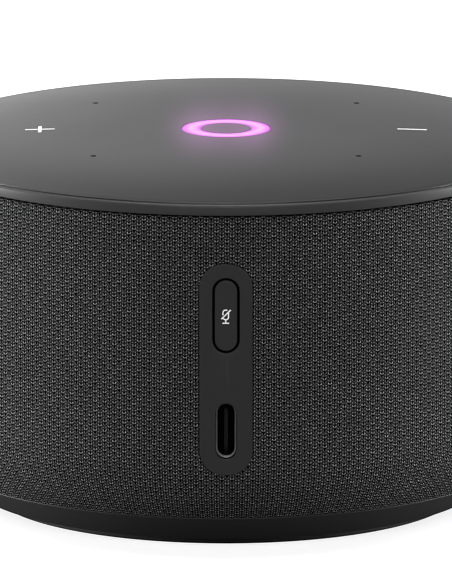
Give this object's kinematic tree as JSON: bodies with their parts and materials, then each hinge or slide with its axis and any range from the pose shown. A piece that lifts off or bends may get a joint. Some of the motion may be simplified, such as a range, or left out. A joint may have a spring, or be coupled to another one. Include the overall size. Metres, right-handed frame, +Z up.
{
  "type": "smart speaker",
  "caption": "Round tabletop smart speaker with a knitted sleeve, domed touch top with a lit ring, and a rear strip with a mute button and USB-C inlet.",
  "frame": {"origin": "on the table, under the middle of the body", "axes": "+Z up; -Y is the side with the rear strip, and +X is to the right when looking at that strip"},
  "size_m": [0.102, 0.102, 0.06],
  "materials": {
    "top_plastic": "fine matt grain with a soft sheen",
    "rim_plastic": "satin",
    "strip_plastic": "matt",
    "base_plastic": "fine grain",
    "frame_plastic": "moulded",
    "knit": "fine warp knit",
    "lens": "lit, translucent",
    "diffuser_plastic": "translucent white",
    "print": "white print",
    "rubber": "matt",
    "board": "solder mask",
    "chip": "moulded epoxy",
    "socket": "natural nylon",
    "steel": "nickel plated",
    "ferrite": "sintered",
    "copper": "enamelled wire",
    "paper": "pressed pulp",
    "foam": "open cell",
    "flex": "polyimide film",
    "wire": "insulated"
  },
  "bodies": {
    "housing": {"top_cover": "top_plastic", "light_ring_core": "top_plastic", "light_ring_lens": "lens", "rim_ring": "rim_plastic", "fabric_sleeve": "knit", "grille_frame": "frame_plastic", "rear_panel": "strip_plastic", "tact_switch": "chip", "usb_shell": "steel", "usb_tongue": "chip", "io_board": "board", "io_cable": "flex", "base_housing": "base_plastic", "rubber_foot": "rubber", "base_screw_1": "steel", "base_screw_2": "steel", "base_screw_3": "steel", "base_screw_4": "steel", "top_screw_1": "steel", "top_screw_2": "steel", "top_screw_3": "steel", "top_screw_4": "steel", "main_board": "board", "shield_can": "steel", "processor_chip": "chip", "amplifier_chip": "chip", "speaker_socket": "socket", "ribbon_socket": "socket", "wifi_antenna": "board", "ribbon_cable": "flex", "speaker_cable": "wire", "touch_board": "board", "light_guide": "diffuser_plastic", "led_1": "diffuser_plastic", "led_2": "diffuser_plastic", "led_3": "diffuser_plastic", "led_4": "diffuser_plastic", "microphone_1": "steel", "microphone_2": "steel", "microphone_3": "steel", "microphone_4": "steel", "mic_gasket_1": "rubber", "mic_gasket_2": "rubber", "mic_gasket_3": "rubber", "mic_gasket_4": "rubber", "sound_diffuser": "frame_plastic", "acoustic_chamber": "frame_plastic", "driver_gasket": "foam", "driver_basket": "steel", "driver_magnet": "ferrite", "magnet_top_plate": "steel", "magnet_yoke": "steel", "cone_surround": "rubber", "cone_spider": "foam"},
    "button": {"mute_button": "strip_plastic", "switch_plunger": "socket"},
    "cone": {"speaker_cone": "paper", "dust_cap": "paper", "voice_coil": "copper"}
  },
  "joints": [
    {"name": "mute_button_press", "type": "slide", "parent": "housing", "child": "button", "axis": [0, 1, 0], "range_m": [0, 0.0004], "stiffness_N_per_m": 1500},
    {"name": "cone_travel", "type": "slide", "parent": "housing", "child": "cone", "axis": [0, 0, 1], "range_m": [-0.0015, 0.0015], "stiffness_N_per_m": 1200, "deforming": ["cone_surround", "cone_spider"]}
  ]
}
